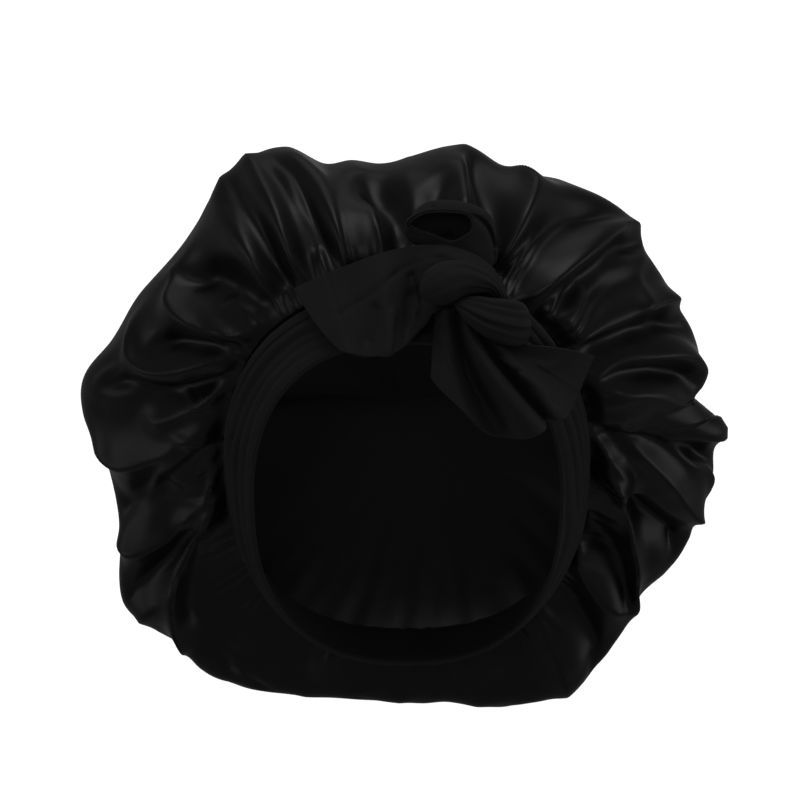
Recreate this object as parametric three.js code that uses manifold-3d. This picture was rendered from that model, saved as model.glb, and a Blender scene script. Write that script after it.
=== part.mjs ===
// Sleep cap: a wide gathered satin crown on a wrapped jersey band that is tied in a knot at the front.
// Units are millimetres. +X is the wearer's left, -Y is the front, +Z is up.
// The origin is the middle of the loop that the band makes round the head.
import * as THREE from 'three';
import { mergeVertices } from 'three/addons/utils/BufferGeometryUtils.js';
import Module from 'manifold-3d';

// Cloth and gaps
const SATIN_WALL = 1.6;
const JERSEY_WALL = 2.0;
const GAP = 0.3;
const START_CLEARANCE = 0.8;

// Band: a loop that leans back from the forehead to the nape, seen from the front as a squircle
const LOOP_TILT_DEG = 47.1;
const LOOP_HALF_WIDTH = 76;
const LOOP_HALF_SLANT = 112;
const LOOP_FULLNESS = 2.4;
const BAND_WIDTH = 30;
const BAND_FLARE_WIDTH = 12;
const BAND_FLARE_SLANT = 6;
const BAND_THICKNESS = 6.2;
const BAND_EDGE_THICKNESS = 4.4;
const PLEAT_COUNT = 4;
const PLEAT_DEPTH = 2.2;
const PLEAT_DRIFT_TURNS = 1;
const BAND_COLUMNS = 66;
const BAND_SECTION_STEPS = 10;

// Crown: where its folds fan out from, and the middle of its back
const FAN_HEIGHT = 19;
const APEX_BACK = 158;
const APEX_HEIGHT = 55;
const RIM_BACK_MIDDLE = 66;
const RIM_BACK_SWING = 60;
const CROWN_COLUMNS = 132;
const CROWN_FRONT_ROWS = 9;
const CROWN_BACK_ROWS = 6;
const FOLD_SPREAD_AT_BAND = 0.75;
const FOLD_SPREAD_AT_RIM = 1.2;
const RIM_CALM = 0.75;
const RIM_CALM_WIDTH = 0.22;
const GATHER_COUNT = 33;
const GATHER_DEPTH = 2.2;
const GATHER_REACH = 0.34;

// Outline of the crown seen from the front: how far it reaches from the fan point, by the angle
// clockwise from straight up
const LOBES = [
  { angle: 0, reach: 158 },
  { angle: 10, reach: 168 },
  { angle: 20, reach: 165 },
  { angle: 37, reach: 173 },
  { angle: 50, reach: 167 },
  { angle: 62, reach: 165 },
  { angle: 70, reach: 163 },
  { angle: 75, reach: 156 },
  { angle: 82, reach: 165 },
  { angle: 95, reach: 157 },
  { angle: 107, reach: 149 },
  { angle: 116, reach: 141 },
  { angle: 128, reach: 144 },
  { angle: 142, reach: 147 },
  { angle: 155, reach: 138 },
  { angle: 168, reach: 130 },
  { angle: 180, reach: 127 },
  { angle: 192, reach: 127 },
  { angle: 205, reach: 133 },
  { angle: 220, reach: 147 },
  { angle: 233, reach: 152 },
  { angle: 245, reach: 165 },
  { angle: 255, reach: 156 },
  { angle: 266, reach: 150 },
  { angle: 275, reach: 163 },
  { angle: 285, reach: 176 },
  { angle: 297, reach: 166 },
  { angle: 310, reach: 164 },
  { angle: 322, reach: 168 },
  { angle: 335, reach: 179 },
  { angle: 342, reach: 172 },
  { angle: 348, reach: 160 },
];

// Main folds of the crown. Each runs from one place to another on the way from the band (0) over
// the rim (1) to the middle of the back (2), and stands out (+) or dips in (-) by its height
const FOLDS = [
  { from: 0.15, start: 322, middle: 328, end: 331, to: 1.5, height: 8, width: 12 },
  { from: 0.2, start: 336, middle: 335, end: 338, to: 1.4, height: 8, width: 11 },
  { from: 0.1, start: 345, middle: 342, end: 339, to: 1.0, height: -7, width: 8 },
  { from: 0.1, start: 358, middle: 353, end: 347, to: 0.7, height: -7, width: 10 },
  { from: 0.1, start: 323, middle: 317, end: 312, to: 1.1, height: -12, width: 19 },
  { from: 0.15, start: 306, middle: 299, end: 296, to: 1.4, height: 8, width: 10 },
  { from: 0.05, start: 300, middle: 290, end: 286, to: 1.3, height: 6, width: 10 },
  { from: 0.2, start: 287, middle: 282, end: 281, to: 1.2, height: -8, width: 11 },
  { from: 0.1, start: 291, middle: 278, end: 275, to: 1.4, height: 9, width: 11 },
  { from: 0.1, start: 284, middle: 272, end: 268, to: 1.3, height: -7, width: 11 },
  { from: 0.05, start: 275, middle: 259, end: 258, to: 1.3, height: 9, width: 12 },
  { from: 0.1, start: 262, middle: 252, end: 247, to: 1.2, height: -8, width: 11 },
  { from: 0.05, start: 268, middle: 249, end: 239, to: 1.3, height: 8, width: 11 },
  { from: 0.1, start: 252, middle: 241, end: 236, to: 1.1, height: -6, width: 11 },
  { from: 0.1, start: 234, middle: 228, end: 224, to: 1.3, height: 7, width: 12 },
  { from: 0.15, start: 221, middle: 215, end: 212, to: 1.1, height: -6, width: 12 },
  { from: 0.1, start: 203, middle: 200, end: 198, to: 1.2, height: 6, width: 12 },
  { from: 0.1, start: 172, middle: 174, end: 176, to: 1.2, height: 5, width: 12 },
  { from: 0.1, start: 151, middle: 153, end: 156, to: 1.2, height: 6, width: 12 },
  { from: 0.15, start: 137, middle: 139, end: 142, to: 1.1, height: -6, width: 12 },
  { from: 0.1, start: 119, middle: 124, end: 128, to: 1.3, height: 7, width: 12 },
  { from: 0.1, start: 101, middle: 110, end: 117, to: 1.1, height: -8, width: 12 },
  { from: 0.1, start: 88, middle: 101, end: 110, to: 1.3, height: 8, width: 11 },
  { from: 0.1, start: 83, middle: 92, end: 96, to: 1.2, height: -8, width: 12 },
  { from: 0.1, start: 70, middle: 80, end: 87, to: 1.3, height: 9, width: 11 },
  { from: 0.1, start: 66, middle: 74, end: 76, to: 1.4, height: -8, width: 9 },
  { from: 0.1, start: 58, middle: 61, end: 66, to: 1.3, height: 7, width: 10 },
  { from: 0.1, start: 49, middle: 51, end: 55, to: 1.3, height: 7, width: 11 },
  { from: 0.15, start: 39, middle: 43, end: 45, to: 1.0, height: -8, width: 13 },
  { from: 0.1, start: 33, middle: 38, end: 41, to: 1.4, height: 9, width: 12 },
  { from: 0.15, start: 25, middle: 28, end: 34, to: 1.1, height: -9, width: 15 },
  { from: 0.15, start: 20, middle: 21, end: 14, to: 1.3, height: 7, width: 12 },
];

// Left tail: sections across it, from the knot out to the cut end, each with the place of its upper
// and lower edge and how far its middle bulges forward
const LEFT_TAIL = [
  { upper: [34, -80, 121], lower: [16, -86, 98], bulge: 0 },
  { upper: [17, -78, 127], lower: [10, -87, 90], bulge: 2 },
  { upper: [-1, -76, 127], lower: [0, -88, 82], bulge: 5 },
  { upper: [-17, -74, 123], lower: [-11, -87, 76], bulge: 5 },
  { upper: [-34, -69, 115], lower: [-25, -85, 77], bulge: 4 },
  { upper: [-53, -60, 108], lower: [-36, -81, 86], bulge: 2 },
];

// Right tail: sections from its root at the knot to its hem, from the left edge round the fold to
// the right corner
const RIGHT_TAIL = [
  { root: [17, -87, 94], hem: [11, -88, 67], bulge: 1 },
  { root: [21, -88, 91], hem: [20, -90, 56], bulge: 2 },
  { root: [25, -88, 89], hem: [36, -92, 44], bulge: 3 },
  { root: [29, -88, 87], hem: [52, -95, 37], bulge: 5 },
  { root: [33, -88, 86], hem: [65, -97, 42], bulge: 8 },
  { root: [37, -86, 86], hem: [66, -89, 47], bulge: 1 },
  { root: [43, -85, 86], hem: [75, -87, 46], bulge: 4 },
  { root: [51, -83, 84], hem: [84, -83, 60], bulge: 4 },
  { root: [58, -83, 80], hem: [90, -78, 77], bulge: 1 },
];

// Knot: two bundles of cloth, each a run of sections with a place, half width and half height
const KNOT_TURN = [
  { at: [48, -88, 102], radius: 5 },
  { at: [44, -92, 111], radius: 6.5 },
  { at: [34, -96, 116], radius: 8 },
  { at: [22, -98, 114], radius: 9 },
  { at: [15, -99, 107], radius: 9.5 },
  { at: [20, -98, 101], radius: 8 },
  { at: [28, -97, 100], radius: 5.5 },
];
const KNOT_WRAP = [
  { at: [24, -97, 99], radius: 4.5 },
  { at: [31, -100, 98], radius: 7.5 },
  { at: [40, -102, 96], radius: 9 },
  { at: [50, -99, 93], radius: 9.5 },
  { at: [58, -90, 90], radius: 8.5 },
  { at: [62, -80, 89], radius: 6.5 },
  { at: [62, -72, 89], radius: 4.5 },
];
const KNOT_SIDES = 12;
const KNOT_STEPS = 12;
const KNOT_CREASE = 0.09;

// Top loop: a small puffed bow behind the knot, open at the front. Its outline is a reach from its
// middle by the angle clockwise from straight up, and its lip curls in round the mouth
const LOOP_MIDDLE = [21, -71, 136];
const LOOP_HALF_DEPTH = 8;
const LOOP_LIP_DEG = -52;
const LOOP_OUTLINE = [
  { angle: 0, reach: 16 },
  { angle: 45, reach: 20 },
  { angle: 90, reach: 21 },
  { angle: 135, reach: 19 },
  { angle: 180, reach: 10 },
  { angle: 225, reach: 12 },
  { angle: 270, reach: 21 },
  { angle: 315, reach: 20 },
];
const LOOP_COLUMNS = 20;
const LOOP_ROWS = 5;

// Finishes
const SATIN = { color: 0x08080a, roughness: 0.36, metalness: 0 };
const JERSEY = { color: 0x0a0a0a, roughness: 0.9, metalness: 0 };

const radians = THREE.MathUtils.degToRad;
const LOOP_UP = new THREE.Vector3(0, -Math.cos(radians(LOOP_TILT_DEG)), Math.sin(radians(LOOP_TILT_DEG)));
const CROWNWARD = new THREE.Vector3(0, Math.sin(radians(LOOP_TILT_DEG)), Math.cos(radians(LOOP_TILT_DEG)));
const BACKWARD = new THREE.Vector3(0, 1, 0);
const APEX = new THREE.Vector3(0, APEX_BACK, APEX_HEIGHT);

// Closed solids from grids

// Joins a grid of points into triangles. Rows follow each other, and a ring joins its last column
// to its first
function gridFaces(rows, columns, ring, index, faces, flip) {
  const lastColumn = ring ? columns : columns - 1;
  for (let row = 0; row < rows - 1; row += 1) {
    for (let column = 0; column < lastColumn; column += 1) {
      const next = (column + 1) % columns;
      const a = index(row, column);
      const b = index(row, next);
      const c = index(row + 1, next);
      const d = index(row + 1, column);
      if (flip) faces.push(a, c, b, a, d, c);
      else faces.push(a, b, c, a, c, d);
    }
  }
}

// Closes the last ring of a grid with triangles to one point
function closePole(points, faces, pole, firstIndex, columns, flip) {
  const centre = points.push(pole) - 1;
  for (let column = 0; column < columns; column += 1) {
    const here = firstIndex + column;
    const next = firstIndex + ((column + 1) % columns);
    if (flip) faces.push(next, here, centre);
    else faces.push(here, next, centre);
  }
}

// Geometry from points and faces, with repeated points merged and flat faces between them
function solidGeometry(points, faces) {
  const geometry = new THREE.BufferGeometry();
  const positions = points.flatMap((point) => [point.x, point.y, point.z]);
  geometry.setAttribute('position', new THREE.Float32BufferAttribute(positions, 3));
  geometry.setIndex(faces);
  const merged = mergeVertices(geometry, 1e-4);
  const index = merged.index.array;
  const kept = [];
  for (let i = 0; i < index.length; i += 3) {
    const [a, b, c] = [index[i], index[i + 1], index[i + 2]];
    if (a !== b && b !== c && c !== a) kept.push(a, b, c);
  }
  merged.setIndex(kept);
  merged.computeVertexNormals();
  return merged;
}

// Normal of a surface at (u, v) from small steps to both sides
function surfaceNormal(surface, u, v, step) {
  const alongU = surface(u + step, v).sub(surface(u - step, v));
  const alongV = surface(u, v + step).sub(surface(u, v - step));
  return alongU.cross(alongV).normalize();
}

// Sheet with a wall: two layers half a wall to each side of the surface, closed along its edges
function sheetGeometry(surface, rows, columns, wall) {
  const points = [];
  const layers = [0.5, -0.5];
  for (const side of layers) {
    for (let row = 0; row < rows; row += 1) {
      for (let column = 0; column < columns; column += 1) {
        const u = row / (rows - 1);
        const v = column / (columns - 1);
        const normal = surfaceNormal(surface, u, v, 0.02);
        points.push(surface(u, v).addScaledVector(normal, side * wall));
      }
    }
  }
  const layerSize = rows * columns;
  const front = (row, column) => row * columns + column;
  const back = (row, column) => layerSize + front(row, column);
  const faces = [];
  gridFaces(rows, columns, false, front, faces, true);
  gridFaces(rows, columns, false, back, faces, false);
  const edge = [];
  for (let column = 0; column < columns - 1; column += 1) edge.push([0, column]);
  for (let row = 0; row < rows - 1; row += 1) edge.push([row, columns - 1]);
  for (let column = columns - 1; column > 0; column -= 1) edge.push([rows - 1, column]);
  for (let row = rows - 1; row > 0; row -= 1) edge.push([row, 0]);
  const loop = (layer, step) => {
    const [row, column] = edge[step % edge.length];
    return layer === 0 ? front(row, column) : back(row, column);
  };
  gridFaces(2, edge.length, true, loop, faces, false);
  return outwardGeometry(points, faces);
}

// Same geometry with its faces turned round if they point in
function outwardGeometry(points, faces) {
  const geometry = solidGeometry(points, faces);
  const position = geometry.attributes.position;
  const index = geometry.index.array;
  const corners = [new THREE.Vector3(), new THREE.Vector3(), new THREE.Vector3()];
  let volume = 0;
  for (let i = 0; i < index.length; i += 3) {
    corners.forEach((corner, k) => corner.fromBufferAttribute(position, index[i + k]));
    volume += corners[0].dot(corners[1].clone().cross(corners[2]));
  }
  if (volume > 0) return geometry;
  const turned = [];
  for (let i = 0; i < index.length; i += 3) turned.push(index[i], index[i + 2], index[i + 1]);
  geometry.setIndex(turned);
  geometry.computeVertexNormals();
  return geometry;
}

// Smooth values between the rows of a table that goes once round the circle
function aroundCircle(table, angle) {
  const count = table.length;
  const turned = ((angle % 360) + 360) % 360;
  let row = count - 1;
  while (row > 0 && table[row].angle > turned) row -= 1;
  const at = (k) => table[((k % count) + count) % count];
  const [before, here, next, after] = [at(row - 1), at(row), at(row + 1), at(row + 2)];
  const span = ((next.angle - here.angle + 360) % 360) || 360;
  const blend = (((turned - here.angle + 360) % 360)) / span;
  return catmullRom(before.reach, here.reach, next.reach, after.reach, blend);
}

// Catmull-Rom blend of four values
function catmullRom(a, b, c, d, blend) {
  const slopeStart = (c - a) / 2;
  const slopeEnd = (d - b) / 2;
  const square = blend * blend;
  const cube = square * blend;
  return (2 * cube - 3 * square + 1) * b + (cube - 2 * square + blend) * slopeStart
    + (3 * square - 2 * cube) * c + (cube - square) * slopeEnd;
}

// Smooth values down the rows of a table, where read gives the numbers of a row. Past either end
// they go on in a straight line
function alongTable(table, read, place) {
  const scaled = THREE.MathUtils.clamp(place, 0, 1) * (table.length - 1);
  const row = Math.min(Math.floor(scaled), table.length - 2);
  const pick = (k) => read(table[THREE.MathUtils.clamp(k, 0, table.length - 1)]);
  const [before, here, next, after] = [pick(row - 1), pick(row), pick(row + 1), pick(row + 2)];
  const blend = scaled - row;
  const beyond = (place - THREE.MathUtils.clamp(place, 0, 1)) * (table.length - 1);
  return here.map((value, k) => catmullRom(before[k], value, next[k], after[k], blend)
    + beyond * (next[k] - value));
}

// Band

// Point on the loop's inner side, across the band from the face side (0) to the crown side (1)
function bandInner(angle, across) {
  const sine = Math.sin(radians(angle));
  const cosine = Math.cos(radians(angle));
  const halfWidth = LOOP_HALF_WIDTH + BAND_FLARE_WIDTH * across;
  const halfHeight = (LOOP_HALF_SLANT + BAND_FLARE_SLANT * across) * LOOP_UP.z;
  const reach = (Math.abs(sine / halfWidth) ** LOOP_FULLNESS
    + Math.abs(cosine / halfHeight) ** LOOP_FULLNESS) ** (-1 / LOOP_FULLNESS);
  return new THREE.Vector3(reach * sine, 0, 0)
    .addScaledVector(LOOP_UP, (reach * cosine) / LOOP_UP.z)
    .addScaledVector(CROWNWARD, BAND_WIDTH * across);
}

// Direction square to the band, away from the head
function bandOutward(angle) {
  const step = 0.5;
  const along = bandInner(angle + step, 0.5).sub(bandInner(angle - step, 0.5));
  return along.cross(CROWNWARD).normalize();
}

// Thickness of the band, rolled in pleats that drift across it as they go round
function bandThickness(angle, across) {
  const roll = Math.abs(Math.sin(Math.PI * (PLEAT_COUNT * across + (PLEAT_DRIFT_TURNS * angle) / 90)));
  const edge = Math.sin(Math.PI * across) ** 0.5;
  return BAND_EDGE_THICKNESS + (BAND_THICKNESS - BAND_EDGE_THICKNESS + PLEAT_DEPTH * roll) * edge;
}

function bandGeometry() {
  const points = [];
  for (let column = 0; column < BAND_COLUMNS; column += 1) {
    const angle = (360 * column) / BAND_COLUMNS;
    const outward = bandOutward(angle);
    for (let step = 0; step <= BAND_SECTION_STEPS; step += 1) {
      const across = step / BAND_SECTION_STEPS;
      points.push(bandInner(angle, across).addScaledVector(outward, bandThickness(angle, across)));
    }
    for (const across of [1, 0.5, 0]) points.push(bandInner(angle, across));
  }
  const section = BAND_SECTION_STEPS + 4;
  const faces = [];
  const index = (row, column) => (row % BAND_COLUMNS) * section + column;
  gridFaces(BAND_COLUMNS + 1, section, true, index, faces, false);
  return outwardGeometry(points, faces);
}

// Crown

// Place where the crown leaves the band, in the middle of the band's end face
function crownStart(angle) {
  return bandInner(angle, 1)
    .addScaledVector(bandOutward(angle), BAND_EDGE_THICKNESS / 2)
    .addScaledVector(CROWNWARD, GAP + SATIN_WALL + START_CLEARANCE);
}

// Outermost place of the crown seen from the front
function crownRim(angle) {
  const reach = aroundCircle(LOBES, angle);
  const back = RIM_BACK_MIDDLE - RIM_BACK_SWING * Math.cos(radians(angle));
  return new THREE.Vector3(
    reach * Math.sin(radians(angle)),
    back,
    FAN_HEIGHT + reach * Math.cos(radians(angle)),
  );
}

// Smooth base of the crown: one curve from the band out to the rim, a second from there to the apex
function crownBase(angle, travel) {
  const radial = new THREE.Vector3(Math.sin(radians(angle)), 0, Math.cos(radians(angle)));
  const rim = crownRim(angle);
  if (travel <= 1) {
    const start = crownStart(angle);
    const span = rim.distanceTo(start);
    const leaving = radial.clone().addScaledVector(BACKWARD, 0.45 - 0.6 * radial.z).normalize();
    const first = start.clone().addScaledVector(leaving, 0.42 * span);
    const second = rim.clone().addScaledVector(BACKWARD, -0.38 * span);
    return new THREE.CubicBezierCurve3(start, first, second, rim).getPoint(travel);
  }
  const span = rim.distanceTo(APEX);
  const first = rim.clone().addScaledVector(BACKWARD, 0.42 * span);
  const second = APEX.clone().addScaledVector(radial, 0.44 * span);
  return new THREE.CubicBezierCurve3(rim, first, second, APEX).getPoint(travel - 1);
}

// Rise from 0 to 1 between two values, with level ends
function ease(from, to, value) {
  const part = THREE.MathUtils.clamp((value - from) / (to - from), 0, 1);
  return part * part * (3 - 2 * part);
}

// Height of the folds and gathers over the smooth base. Folds widen on their way to the rim, and
// are shallow at the rim itself, whose outline the lobes give
function crownRelief(angle, travel) {
  const reach = THREE.MathUtils.lerp(90, 165, Math.min(travel, 1)) * (travel > 1 ? 2 - travel : 1);
  const spread = THREE.MathUtils.lerp(FOLD_SPREAD_AT_BAND, FOLD_SPREAD_AT_RIM, Math.min(travel, 1));
  let relief = 0;
  for (const fold of FOLDS) {
    const along = (travel - fold.from) / (fold.to - fold.from);
    if (along < -0.2 || along > 1) continue;
    const bend = fold.middle - (fold.start + fold.end) / 2;
    const centre = THREE.MathUtils.lerp(fold.start, fold.end, along) + 4 * bend * along * (1 - along);
    const turn = ((angle - centre + 540) % 360) - 180;
    const offset = (radians(turn) * reach) / (fold.width * spread);
    relief += fold.height * ease(-0.2, 0.35, along) * ease(1, 0.7, along) * Math.exp(-offset * offset);
  }
  const fromRim = (travel - 1) / RIM_CALM_WIDTH;
  const calm = 1 - RIM_CALM * Math.exp(-fromRim * fromRim);
  const gather = Math.sin(radians(GATHER_COUNT * angle + 40 * Math.sin(radians(5 * angle))));
  const gathered = ease(0, 0.08, travel) * ease(GATHER_REACH, 0.08, travel);
  return relief * ease(0, 0.2, travel) * calm + GATHER_DEPTH * gather * gathered;
}

function crownSurface(angle, travel) {
  const normal = surfaceNormal(crownBase, angle, travel, 0.01);
  return crownBase(angle, travel).addScaledVector(normal, crownRelief(angle, travel));
}

function crownGeometry() {
  const travels = [];
  for (let row = 0; row <= CROWN_FRONT_ROWS; row += 1) travels.push(row / CROWN_FRONT_ROWS);
  for (let row = 1; row < CROWN_BACK_ROWS; row += 1) travels.push(1 + row / CROWN_BACK_ROWS);
  const points = [];
  const sides = [0.5, -0.5];
  for (const side of sides) {
    for (const travel of travels) {
      for (let column = 0; column < CROWN_COLUMNS; column += 1) {
        const angle = (360 * column) / CROWN_COLUMNS;
        const normal = surfaceNormal(crownSurface, angle, Math.max(travel, 0.03), 0.02);
        points.push(crownSurface(angle, travel).addScaledVector(normal, side * SATIN_WALL));
      }
    }
  }
  const rows = travels.length;
  const layerSize = rows * CROWN_COLUMNS;
  const outer = (row, column) => row * CROWN_COLUMNS + column;
  const inner = (row, column) => layerSize + outer(row, column);
  const faces = [];
  gridFaces(rows, CROWN_COLUMNS, true, outer, faces, false);
  gridFaces(rows, CROWN_COLUMNS, true, inner, faces, true);
  const mouth = (row, column) => (row === 0 ? inner(0, column) : outer(0, column));
  gridFaces(2, CROWN_COLUMNS, true, mouth, faces, false);
  const lastRow = (rows - 1) * CROWN_COLUMNS;
  sides.forEach((side, layer) => {
    const tip = APEX.clone().addScaledVector(BACKWARD, side * SATIN_WALL);
    closePole(points, faces, tip, layer * layerSize + lastRow, CROWN_COLUMNS, layer === 1);
  });
  return outwardGeometry(points, faces);
}

// Tails

function leftTailGeometry() {
  const read = (row) => [...row.upper, ...row.lower, row.bulge];
  const surface = (u, v) => {
    const [ux, uy, uz, lx, ly, lz, bulge] = alongTable(LEFT_TAIL, read, u);
    const point = new THREE.Vector3(ux, uy, uz).lerp(new THREE.Vector3(lx, ly, lz), v);
    point.y -= bulge * Math.sin(Math.PI * v);
    return point;
  };
  return sheetGeometry(surface, 15, 8, JERSEY_WALL);
}

function rightTailGeometry() {
  const read = (row) => [...row.root, ...row.hem, row.bulge];
  const surface = (u, v) => {
    const [rx, ry, rz, hx, hy, hz, bulge] = alongTable(RIGHT_TAIL, read, v);
    const point = new THREE.Vector3(rx, ry, rz).lerp(new THREE.Vector3(hx, hy, hz), u);
    point.y -= bulge * Math.sin(Math.PI * u);
    return point;
  };
  return sheetGeometry(surface, 8, 19, JERSEY_WALL);
}

// Knot

// Bundle of cloth: round sections with shallow creases, carried along a smooth path
function bundleGeometry(table) {
  const path = new THREE.CatmullRomCurve3(table.map((row) => new THREE.Vector3(...row.at)));
  const frames = path.computeFrenetFrames(KNOT_STEPS, false);
  const points = [];
  for (let step = 0; step <= KNOT_STEPS; step += 1) {
    const place = step / KNOT_STEPS;
    const centre = path.getPoint(place);
    const [radius] = alongTable(table, (row) => [row.radius], place);
    for (let side = 0; side < KNOT_SIDES; side += 1) {
      const turn = (2 * Math.PI * side) / KNOT_SIDES;
      const creased = radius * (1 + KNOT_CREASE * Math.cos(4 * turn + 3 * place));
      points.push(centre.clone()
        .addScaledVector(frames.normals[step], creased * Math.cos(turn))
        .addScaledVector(frames.binormals[step], creased * Math.sin(turn)));
    }
  }
  const faces = [];
  const index = (row, column) => row * KNOT_SIDES + column;
  gridFaces(KNOT_STEPS + 1, KNOT_SIDES, true, index, faces, false);
  closePole(points, faces, path.getPoint(0), index(0, 0), KNOT_SIDES, true);
  closePole(points, faces, path.getPoint(1), index(KNOT_STEPS, 0), KNOT_SIDES, false);
  return outwardGeometry(points, faces);
}

// Two closed geometries joined into one solid
function joined(wasm, first, second) {
  const solid = (geometry) => new wasm.Manifold(new wasm.Mesh({
    numProp: 3,
    vertProperties: new Float32Array(geometry.attributes.position.array),
    triVerts: new Uint32Array(geometry.index.array),
  }));
  const mesh = solid(first).add(solid(second)).getMesh();
  const geometry = new THREE.BufferGeometry();
  geometry.setAttribute('position', new THREE.Float32BufferAttribute(mesh.vertProperties, 3));
  geometry.setIndex([...mesh.triVerts]);
  geometry.computeVertexNormals();
  return geometry;
}

// Top loop

// Shell of the loop: an oval puff from the lip at the front round to its closed back
function topLoopGeometry() {
  const middle = new THREE.Vector3(...LOOP_MIDDLE);
  const pointAt = (angle, latitude, inset) => {
    const reach = (aroundCircle(LOOP_OUTLINE, angle) - inset) * Math.cos(radians(latitude));
    const back = (LOOP_HALF_DEPTH - inset) * Math.sin(radians(latitude));
    return middle.clone().add(new THREE.Vector3(
      reach * Math.sin(radians(angle)),
      back,
      reach * Math.cos(radians(angle)),
    ));
  };
  const insets = [0, JERSEY_WALL];
  const points = [];
  for (const inset of insets) {
    for (let row = 0; row < LOOP_ROWS; row += 1) {
      const latitude = THREE.MathUtils.lerp(LOOP_LIP_DEG, 90, row / LOOP_ROWS);
      for (let column = 0; column < LOOP_COLUMNS; column += 1) {
        points.push(pointAt((360 * column) / LOOP_COLUMNS, latitude, inset));
      }
    }
  }
  const layerSize = LOOP_ROWS * LOOP_COLUMNS;
  const outer = (row, column) => row * LOOP_COLUMNS + column;
  const inner = (row, column) => layerSize + outer(row, column);
  const faces = [];
  gridFaces(LOOP_ROWS, LOOP_COLUMNS, true, outer, faces, false);
  gridFaces(LOOP_ROWS, LOOP_COLUMNS, true, inner, faces, true);
  const lip = (row, column) => (row === 0 ? inner(0, column) : outer(0, column));
  gridFaces(2, LOOP_COLUMNS, true, lip, faces, false);
  insets.forEach((inset, layer) => {
    const lastRow = layer * layerSize + (LOOP_ROWS - 1) * LOOP_COLUMNS;
    closePole(points, faces, pointAt(0, 90, inset), lastRow, LOOP_COLUMNS, layer === 1);
  });
  return outwardGeometry(points, faces);
}

// Assembly

function addPiece(group, name, geometry, finish) {
  const mesh = new THREE.Mesh(geometry, new THREE.MeshStandardMaterial(finish));
  mesh.name = name;
  group.add(mesh);
}

const wasm = await Module();
wasm.setup();
const cap = new THREE.Group();
addPiece(cap, 'crown', crownGeometry(), SATIN);
addPiece(cap, 'tie_band', bandGeometry(), JERSEY);
addPiece(cap, 'knot', joined(wasm, bundleGeometry(KNOT_TURN), bundleGeometry(KNOT_WRAP)), JERSEY);
addPiece(cap, 'left_tail', leftTailGeometry(), JERSEY);
addPiece(cap, 'right_tail', rightTailGeometry(), JERSEY);
addPiece(cap, 'top_loop', topLoopGeometry(), JERSEY);

export default cap;
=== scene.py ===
# Sleep cap: a gathered satin crown on a wrapped jersey band, tied in a knot at the front.
import logging
import math
from dataclasses import dataclass, field
from enum import Enum
from typing import Sequence

import bpy
import numpy as np
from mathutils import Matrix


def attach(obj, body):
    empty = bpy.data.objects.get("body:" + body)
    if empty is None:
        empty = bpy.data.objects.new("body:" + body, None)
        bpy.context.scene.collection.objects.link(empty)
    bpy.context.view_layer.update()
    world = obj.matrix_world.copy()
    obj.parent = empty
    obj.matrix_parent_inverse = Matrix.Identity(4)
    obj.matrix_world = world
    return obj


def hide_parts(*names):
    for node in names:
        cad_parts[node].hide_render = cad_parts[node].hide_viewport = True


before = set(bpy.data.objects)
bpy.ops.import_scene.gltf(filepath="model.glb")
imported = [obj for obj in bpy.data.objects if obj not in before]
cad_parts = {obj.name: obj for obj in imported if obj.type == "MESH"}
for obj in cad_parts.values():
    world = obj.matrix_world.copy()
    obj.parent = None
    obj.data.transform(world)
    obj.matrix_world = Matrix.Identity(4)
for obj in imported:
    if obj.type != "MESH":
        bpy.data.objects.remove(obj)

Array = np.ndarray
Rows = Sequence[Sequence[float]]
Colour = tuple[float, float, float, float]
Place = tuple[float, float, float]
Material = bpy.types.Material

LOG = logging.getLogger("sleep_cap")
MM = 0.001
BODY = "root"
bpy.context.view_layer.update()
RIDGE_POWER = 1.2
HOLLOW_POWER = 1.9


# Shader building

class Socket:
    """A shader output on which sums and products can be written as Python."""

    def __init__(self, sheet: "ShaderSheet", output: bpy.types.NodeSocket) -> None:
        """Keeps the output of a node and the sheet that the node lies on."""
        self.sheet = sheet
        self.output = output

    def math(self, operation: str, first: object, second: object) -> "Socket":
        """Adds a Math node.

        Args:
            operation: The node's operation.
            first: First value, a number or a Socket.
            second: Second value, a number or a Socket.

        Returns:
            The node's result.
        """
        return self.sheet.node("ShaderNodeMath", {"operation": operation}, {0: first, 1: second})

    def __add__(self, other: object) -> "Socket":
        """Sum."""
        return self.math("ADD", self, other)

    def __radd__(self, other: object) -> "Socket":
        """Sum with the number first."""
        return self.math("ADD", other, self)

    def __mul__(self, other: object) -> "Socket":
        """Product."""
        return self.math("MULTIPLY", self, other)

    def __rmul__(self, other: object) -> "Socket":
        """Product with the number first."""
        return self.math("MULTIPLY", other, self)


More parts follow.
